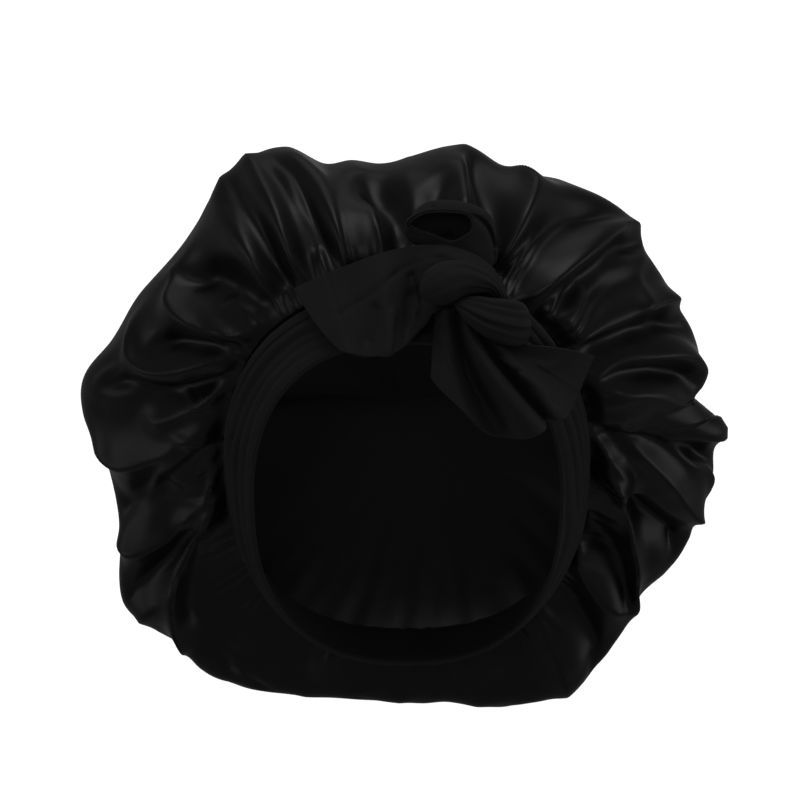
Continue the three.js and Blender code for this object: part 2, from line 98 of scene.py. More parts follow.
class ShaderSheet:
    """The node sheet of one material, with one method that adds any node."""

    def __init__(self, name: str) -> None:
        """Starts an empty material.

        Args:
            name: The material's name.
        """
        self.material = bpy.data.materials.new(name)
        self.material.use_nodes = True
        self.tree = self.material.node_tree
        self.tree.nodes.clear()

    def node(self, kind: str, settings: dict, inputs: dict, output: object = 0) -> Socket:
        """Adds a node, sets it up and feeds it.

        Args:
            kind: Blender's name for the node type.
            settings: Attributes of the node, set first.
            inputs: Values or Sockets by the name or number of the input.
            output: Name or number of the output to hand back.

        Returns:
            The chosen output.
        """
        node = self.tree.nodes.new(kind)
        for key, value in settings.items():
            setattr(node, key, value)
        for key, value in inputs.items():
            if isinstance(value, Socket):
                self.tree.links.new(value.output, node.inputs[key])
            else:
                node.inputs[key].default_value = value
        return Socket(self, node.outputs[output])

    def mix_colour(self, factor: object, first: object, second: object) -> Socket:
        """Blends two colours.

        Args:
            factor: 0 for the first colour, 1 for the second.
            first: Colour as four numbers or a Socket.
            second: Colour as four numbers or a Socket.

        Returns:
            The blended colour.
        """
        settings = {"data_type": "RGBA"}
        return self.node("ShaderNodeMix", settings, {0: factor, 6: first, 7: second}, 2)

    def noise(self, place: Socket, scale: float, detail: float) -> Socket:
        """Soft noise read at a place."""
        inputs = {"Vector": place, "Scale": scale, "Detail": detail}
        return self.node("ShaderNodeTexNoise", {}, inputs)

    def finish(self, surface: Socket) -> Material:
        """Feeds the surface to the material's output.

        Args:
            surface: The shader.

        Returns:
            The finished material.
        """
        output = self.tree.nodes.new("ShaderNodeOutputMaterial")
        self.tree.links.new(surface.output, output.inputs["Surface"])
        return self.material


@dataclass(frozen=True)
class SatinFinish:
    """Black satin: a close, glossy weave whose threads run out from the band."""

    deep: Colour = (0.0026, 0.0025, 0.0030, 1.0)
    lifted: Colour = (0.0048, 0.0046, 0.0056, 1.0)
    roughness_low: float = 0.34
    roughness_high: float = 0.42
    cloud_per_m: float = 18.0
    pucker_per_m: float = 55.0
    thread_pitch_m: float = 0.00045
    slubs_per_m: float = 60.0

    def material(self) -> Material:
        """Builds the satin: cloudy tone, gloss that varies with it, fine threads and soft puckers.

        Returns:
            The material.
        """
        sheet = ShaderSheet("satin")
        place = sheet.node("ShaderNodeTexCoord", {}, {}, "Object")
        cloth = sheet.node("ShaderNodeUVMap", {"uv_map": "cloth"}, {})
        cloud = sheet.noise(place, self.cloud_per_m, 3.0)
        weave = (1.0 / self.thread_pitch_m, self.slubs_per_m, 1.0)
        stretched = sheet.node("ShaderNodeMapping", {}, {"Vector": cloth, "Scale": weave})
        thread = sheet.noise(stretched, 1.0, 2.0)
        pucker = sheet.noise(place, self.pucker_per_m, 2.0)
        soft = sheet.node(
            "ShaderNodeBump", {}, {"Height": pucker, "Strength": 0.06, "Distance": 0.004}
        )
        fine = {"Height": thread, "Strength": 0.10, "Distance": 0.0002, "Normal": soft}
        surface = sheet.node("ShaderNodeBsdfPrincipled", {}, {
            "Base Color": sheet.mix_colour(cloud, self.deep, self.lifted),
            "Roughness": self.roughness_low + (self.roughness_high - self.roughness_low) * cloud,
            "Specular IOR Level": 0.27,
            "Sheen Weight": 0.03,
            "Sheen Roughness": 0.35,
            "Sheen Tint": (0.80, 0.78, 1.0, 1.0),
            "Normal": sheet.node("ShaderNodeBump", {}, fine),
        })
        return sheet.finish(surface)


@dataclass(frozen=True)
class JerseyFinish:
    """Black stretch jersey: matt, with fine ribs along its length and a soft nap."""

    deep: Colour = (0.0125, 0.0124, 0.0124, 1.0)
    worn: Colour = (0.0205, 0.0203, 0.0200, 1.0)
    roughness: float = 0.72
    roughness_spread: float = 0.08
    cloud_per_m: float = 45.0
    nap_per_m: float = 1400.0
    rib_pitch_m: float = 0.0011
    rib_share: float = 0.6
    unit_wave_pitch: float = 0.314

    def material(self) -> Material:
        """Builds the jersey: ribs across the UV map's V, a fine nap and a cloudy tone.

        A wave texture of scale 1 repeats at the unit wave pitch, which sets the ribs' scale.

        Returns:
            The material.
        """
        sheet = ShaderSheet("jersey")
        place = sheet.node("ShaderNodeTexCoord", {}, {}, "Object")
        cloth = sheet.node("ShaderNodeUVMap", {"uv_map": "cloth"}, {})
        cloud = sheet.noise(place, self.cloud_per_m, 4.0)
        rib = sheet.node("ShaderNodeTexWave", {"wave_type": "BANDS", "bands_direction": "Y"}, {
            "Vector": cloth,
            "Scale": self.unit_wave_pitch / self.rib_pitch_m,
            "Distortion": 1.2,
            "Detail": 2.0,
            "Detail Scale": 0.6,
        })
        nap = sheet.noise(place, self.nap_per_m, 2.0)
        height = rib * self.rib_share + nap * (1.0 - self.rib_share)
        relief = {"Height": height, "Strength": 0.18, "Distance": 0.0003}
        surface = sheet.node("ShaderNodeBsdfPrincipled", {}, {
            "Base Color": sheet.mix_colour(cloud, self.deep, self.worn),
            "Roughness": self.roughness + self.roughness_spread * cloud,
            "Specular IOR Level": 0.12,
            "Sheen Weight": 0.02,
            "Sheen Roughness": 0.45,
            "Sheen Tint": (1.0, 0.98, 0.95, 1.0),
            "Normal": sheet.node("ShaderNodeBump", {}, relief),
        })
        return sheet.finish(surface)


@dataclass(frozen=True)
class PaperFinish:
    """Plain pale paper for the floor and the wall behind, which glows as a lit wall does."""

    name: str
    glow: float
    colour: Colour = (0.86, 0.86, 0.86, 1.0)

    def material(self) -> Material:
        """Builds the paper: a matt surface that glows white.

        Returns:
            The material.
        """
        sheet = ShaderSheet(self.name)
        surface = sheet.node("ShaderNodeBsdfPrincipled", {}, {
            "Base Color": self.colour,
            "Roughness": 0.95,
            "Specular IOR Level": 0.1,
            "Emission Color": (1.0, 1.0, 1.0, 1.0),
            "Emission Strength": self.glow,
        })
        return sheet.finish(surface)


# Shapes on grids

def ease(low: float, high: float, value: Array) -> Array:
    """Rise from 0 to 1 between two values, with level ends: 3 part^2 - 2 part^3.

    Args:
        low: Where the rise starts. It may be above high, for a fall.
        high: Where the rise ends.
        value: The places to read.

    Returns:
        The height at each place.
    """
    part = np.clip((value - low) / (high - low), 0.0, 1.0)
    return part * part * (3.0 - 2.0 * part)


def hermite(rows: Sequence[Array], blend: Array) -> Array:
    """Catmull-Rom curve between the middle two of four values.

    Args:
        rows: The four values.
        blend: 0 at the second value, 1 at the third.

    Returns:
        The blended value, a cubic whose slope at each value is half the step across it.
    """
    before, here, following, after = rows
    square = blend * blend
    cube = square * blend
    start_slope = 0.5 * (following - before)
    end_slope = 0.5 * (after - here)
    return (
        (2.0 * cube - 3.0 * square + 1.0) * here
        + (cube - 2.0 * square + blend) * start_slope
        + (3.0 * square - 2.0 * cube) * following
        + (cube - square) * end_slope
    )


def around_circle(table: Rows, angle: Array) -> Array:
    """Smooth reach between the rows of a table of (angle, reach) that goes once round.

    Args:
        table: Rows in order of angle, in degrees.
        angle: The angles to read, in degrees.

    Returns:
        The reach at each angle.
    """
    rows = np.array(table)
    count = len(rows)
    turned = np.mod(angle, 360.0)
    row = np.searchsorted(rows[:, 0], turned, side="right") - 1
    here = rows[row % count]
    following = rows[(row + 1) % count]
    span = np.mod(following[..., 0] - here[..., 0], 360.0)
    blend = np.mod(turned - here[..., 0], 360.0) / span
    reach = rows[:, 1]
    picked = [reach[(row + step) % count] for step in (-1, 0, 1, 2)]
    return hermite(picked, blend)


def along_table(table: Rows, place: Array) -> Array:
    """Smooth rows between the rows of a table.

    Args:
        table: Rows of numbers, evenly spread from place 0 to place 1.
        place: The places to read.

    Returns:
        A row of numbers for each place.
    """
    rows = np.array(table, dtype=float)
    scaled = np.clip(place, 0.0, 1.0) * (len(rows) - 1)
    row = np.minimum(scaled.astype(int), len(rows) - 2)
    picked = [rows[np.clip(row + step, 0, len(rows) - 1)] for step in (-1, 0, 1, 2)]
    return hermite(picked, (scaled - row)[..., None])


def unit(vectors: Array) -> Array:
    """Vectors brought to length 1."""
    return vectors / np.maximum(np.linalg.norm(vectors, axis=-1, keepdims=True), 1e-9)


def grid_normals(points: Array, ring: bool) -> Array:
    """Normals of a grid: the cross product of the steps along its columns and its rows.

    Args:
        points: Grid of rows by columns by 3.
        ring: True where the last column is followed by the first.

    Returns:
        A unit normal at each point.
    """
    if ring:
        along_row = np.roll(points, -1, axis=1) - np.roll(points, 1, axis=1)
    else:
        along_row = np.gradient(points, axis=1)
    along_column = np.gradient(points, axis=0)
    return unit(np.cross(along_row, along_column))


def soft_noise(angle: Array, travel: Array, waves: int, seed: int) -> Array:
    """Smooth seeded noise on a ring: a sum of waves with random counts, slants and phases.

    Args:
        angle: Angle in degrees.
        travel: Place along the ring's other direction.
        waves: How many waves are summed.
        seed: Seed of the random draw.

    Returns:
        Noise between about -1 and 1.
    """
    draw = np.random.default_rng(seed)
    total = np.zeros(np.broadcast(angle, travel).shape)
    for _ in range(waves):
        count = draw.integers(7, 46)
        slant = draw.uniform(-9.0, 9.0)
        phase = draw.uniform(0.0, 2.0 * math.pi)
        total += np.sin(np.radians(count * angle) + slant * travel + phase)
    return total / math.sqrt(waves)


def pair_grid(across: Array, down: Array) -> Array:
    """Each value across beside each value down: rows by columns by 2."""
    return np.stack(np.broadcast_arrays(across[None, :], down[:, None]), axis=-1)


def grid_faces(rows: int, columns: int, ring: bool) -> Array:
    """Four-sided faces of a grid whose points are numbered row by row.

    Args:
        rows: Number of rows.
        columns: Number of columns.
        ring: True where the last column is joined to the first.

    Returns:
        Faces by 4 point numbers.
    """
    row = np.arange(rows - 1)[:, None]
    column = np.arange(columns if ring else columns - 1)[None, :]
    following = (column + 1) % columns
    corners = [
        row * columns + column,
        row * columns + following,
        (row + 1) * columns + following,
        (row + 1) * columns + column,
    ]
    return np.stack(corners, axis=-1).reshape(-1, 4)


@dataclass
class Piece:
    """A mesh in the making: points in millimetres, faces, and cloth coordinates in metres."""

    name: str
    points: Array
    faces: list
    cloth: Array

    def build(self, material: Material) -> bpy.types.Object:
        """Makes the Blender object, smooth shaded, with its cloth UV map.

        Args:
            material: The finish of every face.

        Returns:
            The object, at the origin.
        """
        mesh = bpy.data.meshes.new(self.name)
        mesh.from_pydata((self.points * MM).tolist(), [], self.faces)
        uv = mesh.uv_layers.new(name="cloth")
        corner = np.zeros(len(mesh.loops), dtype=np.int32)
        mesh.loops.foreach_get("vertex_index", corner)
        uv.data.foreach_set("uv", self.cloth[corner].astype(np.float32).ravel())
        mesh.polygons.foreach_set("use_smooth", np.ones(len(mesh.polygons), dtype=bool))
        mesh.materials.append(material)
        mesh.update()
        piece = bpy.data.objects.new(self.name, mesh)
        bpy.context.scene.collection.objects.link(piece)
        return piece


def closed_tube(name: str, rings: Array, ends: Array, cloth: Array) -> Piece:
    """A tube of rings, closed by a fan of triangles at its last ring, or at both ends.

    Args:
        name: The piece's name.
        rings: Rings by points by 3.
        ends: The last ring's closing point, after the first ring's where that is closed too.
        cloth: Cloth coordinates of the rings' points.

    Returns:
        The piece.
    """
    rows, columns = rings.shape[:2]
    count = rows * columns
    near = np.arange(columns)
    following = (near + 1) % columns
    last = count - columns
    fans = [(last + near, last + following, np.full(columns, count + len(ends) - 1))]
    if len(ends) > 1:
        fans.insert(0, (following, near, np.full(columns, count)))
    faces = grid_faces(rows, columns, True).tolist()
    for fan in fans:
        faces += np.stack(fan, axis=1).tolist()
    cloth = np.concatenate([cloth.reshape(-1, 2), np.zeros((len(ends), 2))])
    return Piece(name, np.concatenate([rings.reshape(-1, 3), ends]), faces, cloth)


def add_wall(piece: bpy.types.Object, thickness_mm: float, offset: float) -> None:
    """Gives a sheet its thickness with a Solidify modifier.

    Args:
        piece: The sheet.
        thickness_mm: Thickness of the cloth.
        offset: -1 for all of it behind the sheet, 0 for half to each side.
    """
    wall = piece.modifiers.new("wall", "SOLIDIFY")
    wall.thickness = thickness_mm * MM
    wall.offset = offset
    wall.use_even_offset = False


def soften(piece: bpy.types.Object) -> None:
    """Rounds off the creases of a mesh: one round of a Smooth modifier.

    Args:
        piece: The object.
    """
    smooth = piece.modifiers.new("soft", "SMOOTH")
    smooth.factor = 0.5
    smooth.iterations = 1


def register(piece: bpy.types.Object, slot: str, *nodes: str) -> None:
    """Ties a piece to the body and hides the nodes that it stands for.

    Args:
        piece: The finished object.
        slot: Not used.
        nodes: The CAD nodes that it replaces.
    """
    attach(piece, BODY)
    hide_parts(*nodes)
    LOG.info("%s: %d faces", piece.name, len(piece.data.polygons))


# The loop that the band makes round the head

@dataclass(frozen=True)
class HeadLoop:
    """The band's course: a squircle seen from the front, leaning back to the nape. Millimetres."""

    tilt_deg: float = 47.1
    half_width: float = 76.0
    half_slant: float = 112.0
    fullness: float = 2.4
    band_width: float = 30.0
    flare_width: float = 12.0
    flare_slant: float = 6.0
    edge_thickness: float = 4.4

    @property
    def up(self) -> Array:
        """Direction up the slanted loop, towards the forehead."""
        tilt = math.radians(self.tilt_deg)
        return np.array([0.0, -math.cos(tilt), math.sin(tilt)])

    @property
    def crownward(self) -> Array:
        """Direction square to the loop, towards the crown."""
        tilt = math.radians(self.tilt_deg)
        return np.array([0.0, math.sin(tilt), math.cos(tilt)])

    def inner(self, angle: Array, across: Array) -> Array:
        """Point on the side that touches the head.

        The front outline is |x / half width|^n + |z / half height|^n = 1, and the third
        coordinate follows the leaning plane.

        Args:
            angle: Degrees clockwise from straight up, seen from the front.
            across: 0 at the face side of the band, 1 at the crown side.

        Returns:
            Points, in millimetres.
        """
        angle, across = np.broadcast_arrays(np.asarray(angle, float), np.asarray(across, float))
        sine = np.sin(np.radians(angle))
        cosine = np.cos(np.radians(angle))
        wide = self.half_width + self.flare_width * across
        high = (self.half_slant + self.flare_slant * across) * self.up[2]
        power = self.fullness
        reach = (np.abs(sine / wide) ** power + np.abs(cosine / high) ** power) ** (-1.0 / power)
        side = (reach * sine)[..., None] * np.array([1.0, 0.0, 0.0])
        slant = (reach * cosine / self.up[2])[..., None] * self.up
        return side + slant + (self.band_width * across)[..., None] * self.crownward

    def outward(self, angle: Array) -> Array:
        """Direction square to the band, away from the head: along the band x crownward.

        Args:
            angle: Degrees clockwise from straight up.

        Returns:
            A unit vector for each angle.
        """
        step = 0.5
        along = self.inner(angle + step, 0.5) - self.inner(angle - step, 0.5)
        return unit(np.cross(along, self.crownward))


# Crown

@dataclass(frozen=True)
class Fold:
    """One fold of the crown.

    It runs from one place to another on the way from the band (0) over the rim (1) to the
    middle of the back (2), past four evenly spread angles in degrees. It stands out (+) or dips
    in (-) by its height, and falls off within one width on its anticlockwise side and another on
    its clockwise side, seen from the front. Lengths are in millimetres.
    """

    begins: float
    ends: float
    angles: tuple[float, float, float, float]
    height: float
    before: float
    after: float

    def lift(self, angle: Array, way: Array, reach: Array) -> Array:
        """Height of the fold: a bell across its line, sharp on a ridge and round in a hollow.

        Args:
            angle: Angle of each column, in degrees.
            way: Place of each row on the way from the band to the apex.
            reach: Millimetres to a radian at each row.

        Returns:
            Rows by columns of heights.
        """
        along = (way - self.begins) / (self.ends - self.begins)
        rows = [[value] for value in self.angles]
        centre = along_table(rows, along[:, 0])
        turn = np.mod(angle - centre + 540.0, 360.0) - 180.0
        width = np.where(turn < 0.0, self.before, self.after)
        power = RIDGE_POWER if self.height > 0.0 else HOLLOW_POWER
        bell = np.exp(-np.abs(np.radians(turn) * reach / width) ** power)
        shown = ease(-0.10, 0.16, along) * ease(1.12, 0.72, along)
        return self.height * shown * bell


@dataclass
class Crown:
    """The gathered satin bag. Lengths are in millimetres, angles in degrees.

    The lobes are the rim's reaches by the angle clockwise from straight up. Each row of the folds
    is a Fold: where it begins and ends, its four angles, its height and its two widths.
    """

    loop: HeadLoop
    columns: int = 640
    front_rows: int = 58
    back_rows: int = 18
    last_ring: float = 1.97
    fan_height: float = 19.0
    apex_back: float = 158.0
    apex_height: float = 55.0
    rim_back_middle: float = 66.0
    rim_back_swing: float = 60.0
    start_clearance: float = 1.1
    start_back: float = 0.36
    start_back_swing: float = 0.6
    start_pull: float = 0.42
    rim_pull: float = 0.38
    apex_pull: float = 0.44
    wall: float = 1.2
    band_reach: float = 90.0
    rim_reach: float = 165.0
    rim_calm: float = 0.85
    calm_front: float = 0.13
    calm_back: float = 0.36
    gather_count: int = 62
    gather_depth: float = 0.9
    gather_wander: float = 220.0
    ripple_depth: float = 0.25
    flat_diameter_m: float = 0.60
    lobes: Rows = (
        (0, 159), (10, 167), (19, 161), (28, 167), (38, 171), (44, 167), (50, 164), (57, 162),
        (64, 163), (71, 160), (75, 151), (79, 156), (81, 159), (82, 162), (83, 161), (86, 160),
        (90, 160), (94, 157), (99, 152), (104, 153), (112, 147), (118, 141), (128, 144),
        (141, 149), (150, 145), (156, 140), (168, 130), (180, 127), (192, 128), (205, 135),
        (220, 149), (226, 153), (231, 151), (237, 158), (245, 166), (255, 156), (264, 153),
        (270, 155), (275, 161), (280, 170), (286, 174), (294, 166), (303, 164), (314, 162),
        (325, 169), (333, 177), (340, 175), (345, 161), (350, 160), (355, 156),
    )
    folds: Sequence[Fold] = tuple(Fold(*row[:2], row[2:6], *row[6:]) for row in (
        (.05, .95, 322, 326, 328, 329, 9, 15, 5), (.06, .78, 327, 328, 328, 329, -8, 5, 7),
        (.08, .95, 331, 334, 334, 333, 8, 9, 6), (.1, .75, 336, 336, 336, 335, -6, 5, 5),
        (.08, .8, 344, 343, 341, 337, 6, 4, 14), (.1, .8, 340, 340, 340, 337, -6, 4, 4),
        (.04, .2, 337, 338, 338, 338, 4, 3, 3), (.04, .66, 318, 316, 314, 312, -14, 11, 13),
        (.04, .3, 316, 315, 314, 313, 6, 6, 6), (.04, .7, 311, 306, 306, 311, 9, 7, 5),
        (.05, .48, 307, 303, 300, 297, -7, 5, 6), (.05, .74, 305, 295, 292, 299, 8, 7, 6),
        (.03, .54, 302, 294, 291, 290, 5, 5, 4), (.04, .72, 298, 289, 288, 286, -8, 6, 6),
        (.04, .42, 295, 287, 282, 281, 7, 5, 5), (.12, .9, 287, 282, 279, 281, -6, 13, 13),
        (.02, .96, 285, 275, 272, 277, 10, 8, 10), (.04, .54, 282, 276, 270, 264, 5, 4, 4),
        (.02, .38, 278, 271, 268, 268, 4, 4, 4), (.3, 1, 268, 265, 263, 264, -6, 10, 9),
        (.04, .36, 271, 263, 259, 257, 6, 4, 4), (.1, .42, 266, 260, 256, 254, -3, 5, 4),
        (.05, 1, 261, 255, 253, 258, 7, 5, 9), (.2, .96, 253, 248, 246, 246, -6, 8, 7),
        (.4, 1.02, 245, 242, 241, 240, 5, 6, 5), (.02, 1.04, 262, 248, 236, 227, 11, 9, 5),
        (.2, .6, 250, 242, 238, 235, -3, 9, 8), (.5, .86, 224, 221, 217, 214, -3, 7, 7),
        (.1, .95, 233, 227, 222, 219, 3, 11, 9), (.05, 1.1, 212, 208, 205, 203, 3, 13, 13),
        (.05, 1.2, 198, 195, 193, 192, -2.5, 13, 13), (.05, 1.2, 184, 183, 182, 181, 2.5, 14, 14),
        (.05, 1.2, 172, 172, 173, 174, -2.5, 13, 13), (.05, 1.2, 160, 161, 163, 165, 3, 14, 14),
        (.05, 1.1, 149, 151, 153, 155, -3, 12, 12), (.05, 1.2, 138, 141, 144, 146, 6, 9, 9),
        (.05, 1.1, 128, 131, 134, 137, -7, 9, 9), (.02, .85, 116, 122, 124, 122, 7, 9, 9),
        (0, .85, 107, 112, 117, 122, -8, 8, 8), (.08, 1, 88, 107, 117, 125, 10, 4, 9),
        (.25, .9, 98, 101, 103, 105, -12, 10, 11), (.02, .98, 89, 96, 100, 99, 9, 10, 5),
        (.02, .24, 78, 84, 88, 91, 6, 5, 5), (.12, .98, 79, 90, 97, 99, 8, 8, 6),
        (.4, 1, 83, 88, 90, 96, 5, 4, 4), (.02, .9, 77, 81, 85, 88, -10, 7, 7),
        (0, 1.25, 74, 82, 83, 81, 11, 15, 5), (.03, .9, 64, 70, 74, 72, 8, 5, 10),
        (.08, .8, 63, 66, 70, 73, -7, 5, 5), (.05, .92, 62, 64, 67, 72, 7, 8, 5),
        (.03, .85, 56, 57, 59, 62, -9, 7, 8), (0, .92, 49, 54, 56, 58, 10, 12, 5),
        (.15, .8, 46, 48, 50, 50, -7, 10, 10), (.45, .95, 55, 50, 47, 45, 4, 8, 8),
        (.03, .3, 42, 44, 45, 44, 5, 4, 4), (.02, .28, 40, 40, 40, 41, 4, 3, 3),
        (.1, .9, 41, 42, 43, 46, -8, 5, 6), (0, 1.1, 34, 39, 41, 45, 11, 14, 5),
        (.02, .88, 28, 29, 33, 40, -13, 12, 13), (.12, .9, 24, 25, 24, 18, 9, 7, 9),
        (.05, .85, 23, 20, 15, 10, -10, 8, 8), (.3, .95, 13, 11, 10, 10, 6, 8, 5),
        (.18, .58, 5, 5, 6, 7, -6, 9, 9), (.02, .66, 358, 357, 355, 353, -10, 9, 10),
        (0, .46, 355, 354, 353, 352, 9, 5, 5),
    ))

    def base(self, angle: Array, travel: Array) -> Array:
        """Smooth base: one cubic Bezier from the band out to the rim, one from there to the apex.

        Args:
            angle: Degrees clockwise from straight up, one for each column.
            travel: 0 at the band, 1 at the rim, 2 at the apex, one for each row.

        Returns:
            Rows by columns by 3.
        """
        sine = np.sin(np.radians(angle))
        cosine = np.cos(np.radians(angle))
        zero = np.zeros_like(angle)
        radial = np.stack([sine, zero, cosine], axis=-1)
        backward = np.array([0.0, 1.0, 0.0])
        reach = around_circle(self.lobes, angle)
        rim_back = self.rim_back_middle - self.rim_back_swing * cosine
        rim = np.stack([reach * sine, rim_back, self.fan_height + reach * cosine], axis=-1)
        start = (
            self.loop.inner(angle, 1.0)
            + 0.5 * self.loop.edge_thickness * self.loop.outward(angle)
            + self.start_clearance * self.loop.crownward
        )
        apex = np.array([0.0, self.apex_back, self.apex_height]) * np.ones_like(rim)
        near = np.linalg.norm(rim - start, axis=-1, keepdims=True)
        far = np.linalg.norm(rim - apex, axis=-1, keepdims=True)
        lean = self.start_back - self.start_back_swing * cosine
        leaving = unit(radial + lean[:, None] * backward)
        before_rim = rim - self.rim_pull * near * backward
        front = [start, start + self.start_pull * near * leaving, before_rim, rim]
        behind_rim = rim + self.start_pull * far * backward
        back = [rim, behind_rim, apex + self.apex_pull * far * radial, apex]
        part = np.where(travel <= 1.0, travel, travel - 1.0)[:, None, None]
        on_front = (travel <= 1.0)[:, None, None]
        corners = [np.where(on_front, front[k][None], back[k][None]) for k in range(4)]
        rest = 1.0 - part
        return (
            rest ** 3 * corners[0]
            + 3.0 * rest ** 2 * part * corners[1]
            + 3.0 * rest * part ** 2 * corners[2]
            + part ** 3 * corners[3]
        )

    def relief(self, angle: Array, travel: Array) -> Array:
        """Height of the folds and gathers over the base: a sum of bells across each fold's line.

        Args:
            angle: Degrees, one for each column.
            travel: Place from band to apex, one for each row.

        Returns:
            Rows by columns of heights.
        """
        turn_grid = angle[None, :]
        way = travel[:, None]
        reach = self.band_reach + (self.rim_reach - self.band_reach) * np.minimum(way, 1.0)
        reach = reach * np.where(way > 1.0, 2.0 - way, 1.0)
        total = sum(fold.lift(turn_grid, way, reach) for fold in self.folds)
        spread = np.where(way < 1.0, self.calm_front, self.calm_back)
        calm = 1.0 - self.rim_calm * np.exp(-((way - 1.0) / spread) ** 2)
        total = total * ease(0.0, 0.10, way) * calm * ease(1.9, 1.3, way)
        wander = self.gather_wander * soft_noise(turn_grid, 0.0 * way, 6, 11)
        gather = np.sin(np.radians(self.gather_count * turn_grid + wander))
        gather *= 0.7 + 0.5 * soft_noise(turn_grid, way, 5, 5)
        total += self.gather_depth * gather * ease(0.0, 0.04, way) * ease(0.50, 0.03, way)
        ripple = soft_noise(turn_grid, 3.0 * way, 14, 3)
        return total + self.ripple_depth * ripple * ease(0.0, 0.2, way) * ease(2.0, 1.3, way)

    def build(self, material: Material) -> None:
        """Builds the crown, closes its middle, gives it a wall and its cloth UV map.

        Args:
            material: The satin.
        """
        angle = np.arange(self.columns) * 360.0 / self.columns
        front = np.linspace(0.0, 1.0, self.front_rows, endpoint=False)
        back = np.linspace(1.0, self.last_ring, self.back_rows)
        travel = np.concatenate([front, back])
        base = self.base(angle, travel)
        grid = base + self.relief(angle, travel)[..., None] * grid_normals(base, True)
        radius = 0.5 * self.flat_diameter_m
        cloth = pair_grid(np.radians(angle) * 0.5 * radius, radius * (1.0 - travel / 2.0))
        tip = grid[-1].mean(axis=0, keepdims=True)
        piece = closed_tube("crown_satin", grid, tip, cloth).build(material)
        soften(piece)
        add_wall(piece, self.wall, -1.0)
        register(piece, "satin", "crown")


# Photograph's view

@dataclass(frozen=True)
class PhotoView:
    """The photograph's view, which turns a pixel and a depth into a place. Millimetres."""

    eye: Place = (-3.5, -1500.0, 56.0)
    middle_px: float = 400.0
    mm_per_px: float = 0.5

    def place(self, seen: Array) -> Array:
        """Place on the line of sight through each pixel.

        Args:
            seen: Pixel right, pixel down, and depth along Y, in the last axis.

        Returns:
            Points in millimetres.
        """
        scale = self.mm_per_px * (1.0 + seen[..., 2] / -self.eye[1])
        x = self.eye[0] + (seen[..., 0] - self.middle_px) * scale
        z = self.eye[2] + (self.middle_px - seen[..., 1]) * scale
        return np.stack([x, seen[..., 2], z], axis=-1)


# Band

@dataclass(frozen=True)
class Pleat:
    """One rolled pleat of the band, read at the band's stations.

    Its middles are places across the band, from the face side (0) to the crown side (1). Its
    heights are in millimetres, and its half width is a share of the band's width.
    """

    half_width: float
    middles: tuple[float, ...]
    heights: tuple[float, ...]


